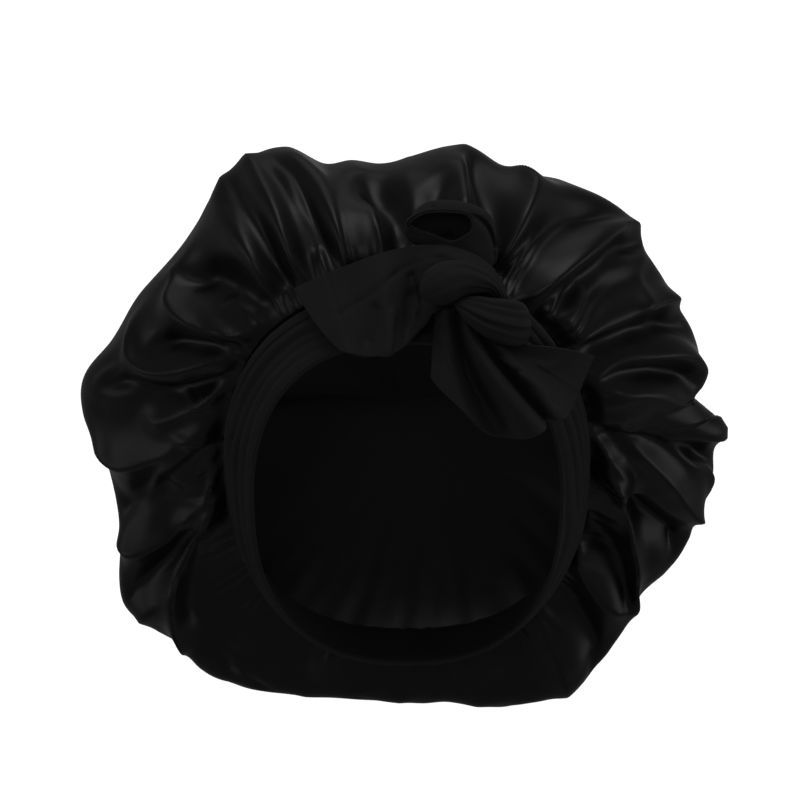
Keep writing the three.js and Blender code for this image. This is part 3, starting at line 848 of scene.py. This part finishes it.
@dataclass
class TieBand:
    """The wound jersey strip: one ring, rolled in pleats that drift and cross. Millimetres."""

    loop: HeadLoop
    columns: int = 480
    outer_points: int = 72
    inner_points: int = 10
    base_thickness: float = 4.0
    edge_share: float = 0.55
    ripple_depth: float = 0.10
    ripple_slant: float = 9.0
    cut_depth: float = 2.0
    cut_below: float = 1.5
    cloth_radius_m: float = 0.095
    stations: tuple[int, ...] = (
        20, 50, 70, 88, 101, 116, 150, 210, 245, 265, 276, 284, 292, 310, 335,
    )
    pleats: Sequence[Pleat] = (
        Pleat(.15,
              (.86, .86, .85, .80, .68, .74, .82, .80, .58, .56, .60, .72, .84, .86, .86),
              (3.4, 3.6, 3.8, 4.2, 4.8, 4.2, 3.6, 3.2, 3.0, 3.2, 3.8, 4.6, 4.2, 3.8, 3.4)),
        Pleat(.10,
              (.66, .66, .66, .64, .58, .60, .62, .60, .86, .86, .84, .76, .66, .62, .62),
              (3.2, 3.4, 3.8, 4.4, 4.4, 3.8, 3.2, 3.0, 3.6, 4.0, 4.2, 3.4, 3.0, 3.2, 3.4)),
        Pleat(.09,
              (.47, .48, .50, .51, .51, .48, .44, .42, .38, .40, .46, .52, .50, .46, .45),
              (2.8, 3.2, 3.6, 3.8, 3.6, 3.4, 2.8, 2.6, 2.8, 3.0, 2.8, 2.4, 1.6, 1.3, 1.6)),
        Pleat(.10,
              (.29, .30, .33, .38, .43, .36, .27, .24, .20, .22, .28, .32, .32, .29, .28),
              (2.2, 2.6, 3.0, 3.4, 3.2, 3.0, 2.4, 2.2, 2.2, 2.2, 2.0, 1.6, 1.3, 1.2, 1.4)),
        Pleat(.10,
              (.10, .11, .14, .20, .30, .20, .10, .08, .08, .08, .10, .12, .12, .11, .10),
              (1.6, 1.8, 2.2, 2.6, 2.8, 2.2, 1.6, 1.4, 1.4, 1.4, 1.3, 1.2, 1.1, 1.2, 1.4)),
    )

    def thickness(self, angle: Array, across: Array) -> Array:
        """Thickness of the band: the highest of its rolls, each the arc of a circle, less a cut.

        The cut lies where the rolls meet: cut depth x exp(-(roll height / cut below)^2).

        Args:
            angle: Degrees, one for each column.
            across: Place across the band, one for each row.

        Returns:
            Rows by columns of thicknesses.
        """
        side = across[:, None]
        best = np.zeros((len(across), len(angle)))
        for pleat in self.pleats:
            middle = around_circle(list(zip(self.stations, pleat.middles)), angle)[None, :]
            height = around_circle(list(zip(self.stations, pleat.heights)), angle)[None, :]
            offset = np.clip(np.abs(side - middle) / pleat.half_width, 0.0, 1.0)
            best = np.maximum(best, height * np.sqrt(1.0 - offset ** 2))
        ripple = soft_noise(angle[None, :], self.ripple_slant * side, 9, 21)
        edge = np.sqrt(np.sin(math.pi * np.clip(side, 0.0, 1.0)).clip(0.0, 1.0))
        cut = self.cut_depth * np.exp(-(best / self.cut_below) ** 2)
        base = self.base_thickness * (self.edge_share + (1.0 - self.edge_share) * edge)
        return base + (best - cut) * edge + self.ripple_depth * ripple

    def build(self, material: Material) -> None:
        """Builds the closed ring: out over the rolls and back along the head.

        Args:
            material: The jersey.
        """
        angle = np.arange(self.columns) * 360.0 / self.columns
        across = 0.5 - 0.5 * np.cos(np.linspace(0.0, math.pi, self.outer_points))
        across = 0.5 * across + 0.5 * np.linspace(0.0, 1.0, self.outer_points)
        lift = self.thickness(angle, across)[..., None] * self.loop.outward(angle)[None]
        outer = self.loop.inner(angle[None, :], across[:, None]) + lift
        back = np.linspace(1.0, 0.0, self.inner_points)
        inner = self.loop.inner(angle[None, :], back[:, None])
        points = np.concatenate([outer, inner]).reshape(-1, 3)
        rows = self.outer_points + self.inner_points + 1
        faces = grid_faces(rows, self.columns, True) % len(points)
        span = np.concatenate([across, back, across[:1]]) * MM * self.loop.band_width
        cloth = pair_grid(np.radians(angle) * self.cloth_radius_m, span).reshape(-1, 2)
        piece = Piece("band_jersey", points, faces.tolist(), cloth).build(material)
        soften(piece)
        register(piece, "jersey", "tie_band")


# Tails

@dataclass(frozen=True)
class Press:
    """A soft groove pressed into a tail, or a ridge where its depth is negative.

    It runs between two places, each a share across the fan and a share down it. Its width and
    its depth are in millimetres.
    """

    start: tuple[float, float]
    end: tuple[float, float]
    width: float
    depth: float

    def dip(self, across: Array, down: Array, flat_mm: Array) -> Array:
        """Depth of the groove: a bell of the distance from the line between its ends.

        Args:
            across: Share across the fan, one for each column.
            down: Share down the fan, one for each row.
            flat_mm: Length and width of the flat tail, in millimetres.

        Returns:
            Rows by columns of depths.
        """
        place = pair_grid(across, down) * flat_mm
        start = np.array(self.start) * flat_mm
        line = np.array(self.end) * flat_mm - start
        share = np.clip((place - start) @ line / (line @ line), 0.0, 1.0)
        away = np.linalg.norm(place - start - share[..., None] * line, axis=-1)
        return self.depth * np.exp(-(away / self.width) ** 2)


@dataclass
class Tail:
    """A free end of the jersey strip: a sheet through a fan of rays. Millimetres.

    Each ray is a line of the tail from its root over a middle point to its hem. Its row gives
    these three points, each as a pixel right, a pixel down and a depth.
    """

    name: str
    node: str
    rays: Rows
    presses: Sequence[Press]
    flat: tuple[float, float]
    view: PhotoView = field(default_factory=PhotoView)
    rows: int = 130
    columns: int = 220
    wall: float = 1.4
    wave: float = 0.6
    wave_turns: float = 26.0
    wave_slant: float = 0.5
    seam_across: float = 0.90
    seam_depth: float = 0.45
    seam_width: float = 0.8
    cut_share: float = 0.8

    def build(self, material: Material) -> None:
        """Each ray is the parabola through its three points, and the rays are joined by smooth
        curves. Soft noise that grows towards the hem, a seam and the presses move the sheet
        square to itself.

        Args:
            material: The jersey.
        """
        down = np.linspace(0.0, 1.0, self.rows)
        across = np.linspace(0.0, 1.0, self.columns)
        root, middle, hem = np.split(along_table(self.rays, across)[None], 3, axis=-1)
        run = down[:, None, None]
        seen = (
            2.0 * (run - 0.5) * (run - 1.0) * root
            - 4.0 * run * (run - 1.0) * middle
            + 2.0 * run * (run - 0.5) * hem
        )
        sheet = self.view.place(seen)
        noise = soft_noise(self.wave_turns * across[None], self.wave_slant * down[:, None], 12, 2)
        lift = self.wave * noise * ease(0.0, 0.6, down[:, None])
        seam = (across[None, :] - self.seam_across) * self.flat[0] / MM
        lift = lift - self.seam_depth * np.exp(-(seam / self.seam_width) ** 2)
        flat_mm = np.array(self.flat) / MM
        lift = lift - sum(press.dip(across, down, flat_mm) for press in self.presses)
        sheet = sheet + lift[..., None] * grid_normals(sheet, False)
        cloth = pair_grid(across * self.flat[0], (1.0 - down) * self.flat[1]).reshape(-1, 2)
        faces = grid_faces(self.rows, self.columns, False).tolist()
        tail = Piece(self.name, sheet.reshape(-1, 3), faces, cloth).build(material)
        add_wall(tail, self.wall, 0.0)
        soften(tail)
        register(tail, "jersey", self.node)


LEFT_TAIL = Tail("left_tail_jersey", "left_tail", (
    (507, 297, -77, 488, 300, -84, 464, 305, -84), (502, 284, -78, 478, 292, -86, 452, 306, -85),
    (492, 268, -79, 468, 286, -87, 444, 306, -86), (475, 255, -80, 455, 284, -87, 436, 309, -88),
    (452, 247, -79, 438, 284, -84, 428, 321, -88), (430, 245, -78, 424, 288, -81, 417, 332, -86),
    (411, 246, -76, 408, 296, -79, 405, 346, -86), (394, 250, -75, 397, 302, -83, 395, 353, -90),
    (377, 255, -73, 385, 307, -86, 388, 357, -92), (362, 260, -71, 372, 309, -81, 377, 356, -88),
    (346, 266, -69, 357, 311, -76, 365, 357, -85), (321, 276, -64, 337, 317, -76, 353, 355, -86),
    (294, 289, -60, 317, 325, -72, 341, 351, -83),
), (
    Press((.48, .50), (.46, .78), 4.0, 2.6), Press((.74, .50), (.80, .82), 3.6, 2.2),
    Press((.62, .60), (.66, .95), 3.4, -1.6), Press((.90, .48), (.58, .22), 2.0, .8),
    Press((.58, .22), (.34, .16), 2.4, .6), Press((.36, .10), (.10, .34), 2.6, -1.2),
    Press((.30, .30), (.12, .58), 2.0, 1.0), Press((.49, .30), (.45, .62), 2.6, 2.2),
    Press((.42, .20), (.18, .14), 4.5, -1.2),
), (0.105, 0.055))
RIGHT_TAIL = Tail("right_tail_jersey", "right_tail", (
    (436, 309, -84, 434, 344, -86, 432, 378, -88), (441, 309, -87, 444, 350, -91, 445, 394, -93),
    (447, 308, -89, 454, 362, -92, 468, 416, -95), (453, 308, -87, 461, 364, -87, 482, 428, -91),
    (456, 308, -85, 465, 362, -83, 498, 436, -86), (459, 310, -86, 471, 360, -86, 512, 439, -88),
    (463, 313, -89, 483, 366, -98, 530, 438, -99), (466, 316, -90, 491, 369, -101, 542, 433, -101),
    (469, 320, -88, 496, 368, -95, 545, 429, -96), (472, 323, -86, 499, 366, -86, 545, 422, -89),
    (475, 327, -86, 503, 364, -86, 548, 418, -87), (478, 330, -88, 509, 362, -94, 555, 419, -93),
    (482, 334, -88, 517, 365, -96, 562, 420, -93), (487, 337, -87, 526, 368, -91, 569, 414, -88),
    (493, 340, -86, 534, 366, -86, 577, 398, -83), (500, 343, -86, 543, 359, -85, 586, 377, -80),
    (508, 345, -86, 552, 347, -86, 595, 356, -78),
), (
    Press((.05, .30), (.10, .60), 2.0, .7), Press((.70, .45), (.78, .80), 3.0, 1.4),
    Press((.84, .30), (.92, .62), 3.0, 1.0), Press((.78, .20), (.88, .30), 2.0, -.8),
    Press((.22, .55), (.30, .90), 3.0, -.8), Press((.60, .30), (.66, .52), 1.8, -1.0),
    Press((.66, .52), (.76, .60), 1.8, -1.0), Press((.76, .60), (.78, .86), 1.8, -1.0),
), (0.110, 0.065))


# Knot

@dataclass(frozen=True)
class Crease:
    """A groove along a bundle.

    It lies at a turn round the section, in degrees, that changes from the bundle's start to its
    end, and it shows from one share of the bundle's length to another. Its depth is a share of
    the section's size.
    """

    start_deg: float
    end_deg: float
    depth: float
    width_deg: float
    begins: float
    ends: float
    fade: float = 0.12

    def cut(self, turn: Array, place: Array) -> Array:
        """Depth of the groove: a bell round the section, faded in and out along the bundle.

        Args:
            turn: Turn round the section, in degrees, one for each side.
            place: Share of the bundle's length, one for each section.

        Returns:
            Sections by sides of depths.
        """
        centre = self.start_deg + (self.end_deg - self.start_deg) * place[:, None]
        offset = (np.mod(turn[None, :] - centre + 540.0, 360.0) - 180.0) / self.width_deg
        shown = ease(self.begins - self.fade, self.begins + self.fade, place[:, None])
        shown = shown * ease(self.ends + self.fade, self.ends - self.fade, place[:, None])
        return self.depth * shown * np.exp(-offset ** 2)


@dataclass
class Bundle:
    """A gathered roll of the knot: oval sections along a smooth path, with creases. Millimetres.

    Each section's row gives its middle, as two pixels and a depth, and its half height and half
    depth.
    """

    name: str
    sections: Rows
    creases: Sequence[Crease] = ()
    view: PhotoView = field(default_factory=PhotoView)
    steps: int = 130
    sides: int = 110
    steadiness: float = 0.07
    ripple: float = 0.018
    ripple_turns: float = 0.35
    ripple_slant: float = 0.8
    cloth_radius_m: float = 0.009

    def build(self, material: Material) -> None:
        """Builds the roll, closed at both ends.

        Args:
            material: The jersey.
        """
        place = np.linspace(0.0, 1.0, self.steps)
        rows = along_table(self.sections, place)
        path = self.view.place(rows[:, :3])
        steps = np.gradient(path, axis=0)
        near_by = np.exp(-((place[:, None] - place[None, :]) / self.steadiness) ** 2)
        upright = unit(np.cross(near_by @ steps, np.array([0.0, -1.0, 0.0])))
        facing = unit(np.cross(upright, unit(steps)))
        turn = np.linspace(0.0, 360.0, self.sides, endpoint=False)
        shape = np.ones((self.steps, self.sides))
        for crease in self.creases:
            shape -= crease.cut(turn, place)
        slant = self.ripple_slant * place[:, None]
        shape += self.ripple * soft_noise(self.ripple_turns * turn[None, :], slant, 10, 8)
        sine = (np.sin(np.radians(turn))[None, :] * shape * rows[:, 3:4])[..., None]
        cosine = (np.cos(np.radians(turn))[None, :] * shape * rows[:, 4:])[..., None]
        rings = path[:, None] + sine * upright[:, None] + cosine * facing[:, None]
        length = np.concatenate([[0.0], np.linalg.norm(np.diff(path, axis=0), axis=1).cumsum()])
        cloth = pair_grid(np.radians(turn) * self.cloth_radius_m, length * MM)[..., ::-1]
        piece = closed_tube(self.name, rings, path[[0, -1]], cloth).build(material)
        register(piece, "jersey", "knot")


KNOT = (
    Bundle("knot_turn", (
        (502, 303, -81, 1.6, 1.6), (499, 294, -86, 2.6, 2.6), (491, 285, -90.5, 4.0, 4.0),
        (478, 280, -94, 6.4, 5.4), (463, 278, -96.5, 8.4, 6.6), (449, 281, -98, 9.7, 7.2),
        (438, 286, -98, 9.4, 7.0), (430, 290, -96.5, 7.2, 5.6), (426, 291, -94.5, 4.0, 3.4),
        (425, 291, -93.5, 0.4, 0.4),
    ), (
        Crease(318, 300, .26, 15, .0, .42), Crease(350, 335, .16, 10, .0, .34),
        Crease(20, 52, .14, 11, .0, .50), Crease(60, 74, .10, 12, .05, .65),
    )),
    Bundle("knot_wrap", (
        (456, 302, -92, 1.2, 1.6), (463, 305, -95.5, 4.0, 4.0), (474, 310, -98, 6.9, 5.6),
        (487, 316, -99, 8.9, 7.0), (500, 320, -98, 10.3, 7.6), (511, 323, -94, 10.8, 7.4),
        (518, 324, -88, 10.6, 6.4), (521, 324, -82, 9.6, 5.0), (522, 324, -77, 7.4, 3.6),
        (522, 324, -75, 0.6, 0.6),
    ), (
        Crease(24, 12, .28, 7, .02, .66), Crease(352, 336, .13, 11, .02, .72),
        Crease(316, 312, .20, 7, .05, .60), Crease(54, 44, .05, 8, .20, .60),
        Crease(3, 356, .04, 5, .40, .72),
    )),
    Bundle("knot_strand_long", (
        (507, 297, -82, 1.0, 1.0), (515, 306, -86, 2.2, 2.2), (528, 320, -86, 2.6, 2.4),
        (541, 334, -82, 2.6, 2.4), (552, 347, -77, 2.0, 2.0), (556, 352, -75, 0.4, 0.4),
    )),
    Bundle("knot_strand_short", (
        (514, 312, -84, 1.0, 1.0), (521, 322, -87, 1.9, 1.8), (530, 334, -86, 2.1, 2.0),
        (540, 346, -81, 1.8, 1.8), (543, 350, -79, 0.4, 0.4),
    )),
)


# Top loop

@dataclass
class TopLoop:
    """A small puffed bow of jersey behind the knot, open towards the front. Millimetres.

    Its outline and its mouth are reaches from its middle in pixels, by the angle clockwise from
    straight up. Each groove has an angle, a drift towards the back and a width, all in degrees,
    and a share of the crease's depth.
    """

    view: PhotoView = field(default_factory=PhotoView)
    middle: tuple[float, float] = (449.0, 230.0)
    outline: Rows = (
        (0, 30), (30, 32), (50, 37), (70, 44), (90, 46), (105, 48), (118, 52), (130, 56), (142, 52),
        (155, 43), (180, 32), (210, 31), (240, 35), (260, 43), (271, 45), (283, 41), (300, 39),
        (320, 36), (340, 32),
    )
    mouth: Rows = (
        (0, 17), (30, 19), (55, 23), (75, 23), (92, 21), (112, 15), (140, 12), (180, 10),
        (220, 10), (250, 14), (263, 20), (271, 30), (278, 40), (288, 36), (300, 30), (325, 21),
    )
    grooves: Rows = ((49.0, 74.0, 8.0, 1.0), (318.0, 10.0, 7.0, 0.6))
    crease_depth: float = 3.4
    lip_room: float = 2.5
    lip_curl: float = 4.0
    lip_tuck: float = 5.0
    sag: float = 3.5
    sag_deg: float = 185.0
    sag_width_deg: float = 60.0
    front: float = -76.5
    side: float = -70.0
    back: float = -63.5
    first_run: float = -0.35
    last_run: float = 1.96
    columns: int = 200
    rows: int = 60
    wall: float = 1.4
    cloth_scale_m: float = 0.02
    flat: tuple[float, float] = (0.095, 0.030)

    def build(self, material: Material) -> None:
        """Builds the puff from its curled lip round its side to its closed back.

        The run goes from below 0 at the lip over 1 at the side to nearly 2 at the back. The reach
        and the depth follow quarter circles between them.

        Args:
            material: The jersey.
        """
        angle = np.linspace(0.0, 360.0, self.columns, endpoint=False)
        run = np.linspace(self.first_run, self.last_run, self.rows)[:, None]
        lip = around_circle(self.mouth, angle)[None, :]
        rim = np.maximum(around_circle(self.outline, angle)[None, :], lip + self.lip_room)
        out = 0.5 * math.pi * np.clip(run, 0.0, 1.0)
        home = 0.5 * math.pi * np.clip(run - 1.0, 0.0, 1.0)
        curl = np.clip(-run, 0.0, 1.0)
        reach = (lip + (rim - lip) * np.sin(out)) * np.cos(home) + self.lip_curl * curl
        depth = (
            self.front + (self.side - self.front) * (1.0 - np.cos(out))
            + (self.back - self.side) * np.sin(home) + self.lip_tuck * curl
        )
        sag = np.exp(-((angle - self.sag_deg) / self.sag_width_deg) ** 2)
        depth = depth + self.sag * sag[None, :]
        groove = sum(
            share * np.exp(-((angle - start - drift * run) / width) ** 2)
            for start, drift, width, share in self.grooves
        )
        depth = depth + self.crease_depth * groove * ease(0.0, 0.4, run) * ease(1.6, 1.0, run)
        seen = np.stack(np.broadcast_arrays(
            self.middle[0] + reach * np.sin(np.radians(angle)),
            self.middle[1] - reach * np.cos(np.radians(angle)),
            depth,
        ), axis=-1)
        shell = self.view.place(seen)
        pole = shell[-1].mean(axis=0, keepdims=True)
        cloth = pair_grid(np.radians(angle) * self.cloth_scale_m, run[:, 0] * self.cloth_scale_m)
        loop = closed_tube("top_loop_jersey", shell, pole, cloth).build(material)
        add_wall(loop, self.wall, -1.0)
        register(loop, "jersey", "top_loop")


# Floor, light and camera

class LightRole(Enum):
    """The soft boxes round the cap."""

    LEFT = "left"
    RIGHT = "right"
    SIDE = "side"
    TOP = "top"
    BACK = "back"
    BEHIND = "behind"
    FRONT = "front"


@dataclass(frozen=True)
class SoftBox:
    """A square light: where it hangs, how wide and high it is, and its power. Metres and watts."""

    role: LightRole
    place: Place
    width: float
    height: float
    power: float


@dataclass
class Studio:
    """A pale floor, a white backdrop all round, soft boxes and the camera. Metres."""

    floor_z: float = -0.42
    floor_radius: float = 5.0
    floor_glow: float = 0.93
    backdrop_radius: float = 6.0
    backdrop_glow: float = 1.0
    sides: int = 64
    camera_place: Place = (-0.0035, -1.5, 0.056)
    lens_mm: float = 135.0
    sensor_mm: float = 36.0
    aim: Place = (0.0, 0.03, 0.03)
    sky: float = 0.15
    boxes: Sequence[SoftBox] = (
        SoftBox(LightRole.LEFT, (-1.65, -0.3, 0.0), 0.8, 0.8, 1.3),
        SoftBox(LightRole.RIGHT, (1.6, -0.5, -0.2), 0.8, 0.8, 2.2),
        SoftBox(LightRole.SIDE, (1.7, -0.1, 0.2), 0.8, 0.8, 0.8),
        SoftBox(LightRole.TOP, (0.0, -0.9, 1.6), 1.0, 0.8, 6.0),
        SoftBox(LightRole.BACK, (0.0, 0.2, 1.8), 1.0, 1.0, 1.6),
        SoftBox(LightRole.BEHIND, (0.5, 2.3, 0.6), 1.0, 1.0, 0.8),
        SoftBox(LightRole.FRONT, (-0.35, -2.3, 0.6), 0.8, 0.8, 3.2),
    )

    def build(self) -> None:
        """Builds the stage, the lights, the world and the camera."""
        self.floor()
        self.screen()
        for box in self.boxes:
            self.light(box)
        world = bpy.data.worlds.new("studio")
        world.use_nodes = True
        world.node_tree.nodes["Background"].inputs["Color"].default_value = (1, 1, 1, 1)
        world.node_tree.nodes["Background"].inputs["Strength"].default_value = self.sky
        bpy.context.scene.world = world
        bpy.context.scene.view_settings.view_transform = "Standard"
        self.camera()

    def ring(self, radius: float, height: float) -> Array:
        """Points evenly round an upright axis.

        Args:
            radius: Radius of the ring.
            height: Its height.

        Returns:
            One point for each of the stage's sides.
        """
        turn = np.linspace(0.0, 2.0 * math.pi, self.sides, endpoint=False)
        level = np.full(self.sides, height)
        return np.stack([radius * np.cos(turn), radius * np.sin(turn), level], axis=1)

    def floor(self) -> None:
        """Adds a round paper floor, lit from within so that it lights nothing else."""
        rim = self.ring(self.floor_radius, self.floor_z)
        self.set_stage("floor", rim, [list(range(self.sides))], self.floor_glow)

    def screen(self) -> None:
        """Adds a drum of white paper round and over the scene."""
        reach = self.backdrop_radius
        drum = np.concatenate([self.ring(reach, -reach), self.ring(reach, reach)])
        lid = list(range(self.sides, 2 * self.sides))
        faces = grid_faces(2, self.sides, True).tolist() + [lid]
        self.set_stage("backdrop", drum, faces, self.backdrop_glow)

    def set_stage(self, name: str, points: Array, faces: list, glow: float) -> None:
        """Puts a sheet of paper on the stage, which the camera sees and which lights nothing.

        Args:
            name: The sheet's name.
            points: Its points.
            faces: Its faces.
            glow: How strongly it glows.
        """
        mesh = bpy.data.meshes.new(name)
        mesh.from_pydata(points.tolist(), [], faces)
        mesh.materials.append(PaperFinish(name + "_paper", glow).material())
        paper = bpy.data.objects.new(name, mesh)
        paper.visible_diffuse = False
        paper.visible_glossy = False
        paper.visible_shadow = False
        bpy.context.scene.collection.objects.link(paper)

    def light(self, box: SoftBox) -> None:
        """Adds one soft box, turned to face the cap.

        Args:
            box: The soft box.
        """
        lamp = bpy.data.lights.new("soft_box_" + box.role.value, "AREA")
        lamp.shape = "RECTANGLE"
        lamp.size = box.width
        lamp.size_y = box.height
        lamp.energy = box.power
        holder = bpy.data.objects.new(lamp.name, lamp)
        holder.location = box.place
        holder.rotation_euler = self.facing(box.place)
        bpy.context.scene.collection.objects.link(holder)

    def facing(self, place: Place) -> Place:
        """Turn that points a light's -Z from a place to the aim."""
        x, y, z = (self.aim[k] - place[k] for k in range(3))
        return (math.atan2(math.hypot(x, y), -z), 0.0, math.atan2(-x, y))

    def camera(self) -> None:
        """Adds the camera, level and square to the cap's front."""
        lens = bpy.data.cameras.new("camera")
        lens.lens = self.lens_mm
        lens.sensor_width = self.sensor_mm
        camera = bpy.data.objects.new("camera", lens)
        camera.location = self.camera_place
        camera.rotation_euler = (math.pi / 2.0, 0.0, 0.0)
        bpy.context.scene.collection.objects.link(camera)
        bpy.context.scene.camera = camera


def main() -> None:
    """Builds the studio, then the cap piece by piece."""
    logging.basicConfig(level=logging.INFO, format="%(message)s")
    Studio().build()
    satin = SatinFinish().material()
    jersey = JerseyFinish().material()
    loop = HeadLoop()
    Crown(loop).build(satin)
    for part in (TieBand(loop), LEFT_TAIL, RIGHT_TAIL, *KNOT, TopLoop()):
        part.build(jersey)


if __name__ == "__main__":
    main()
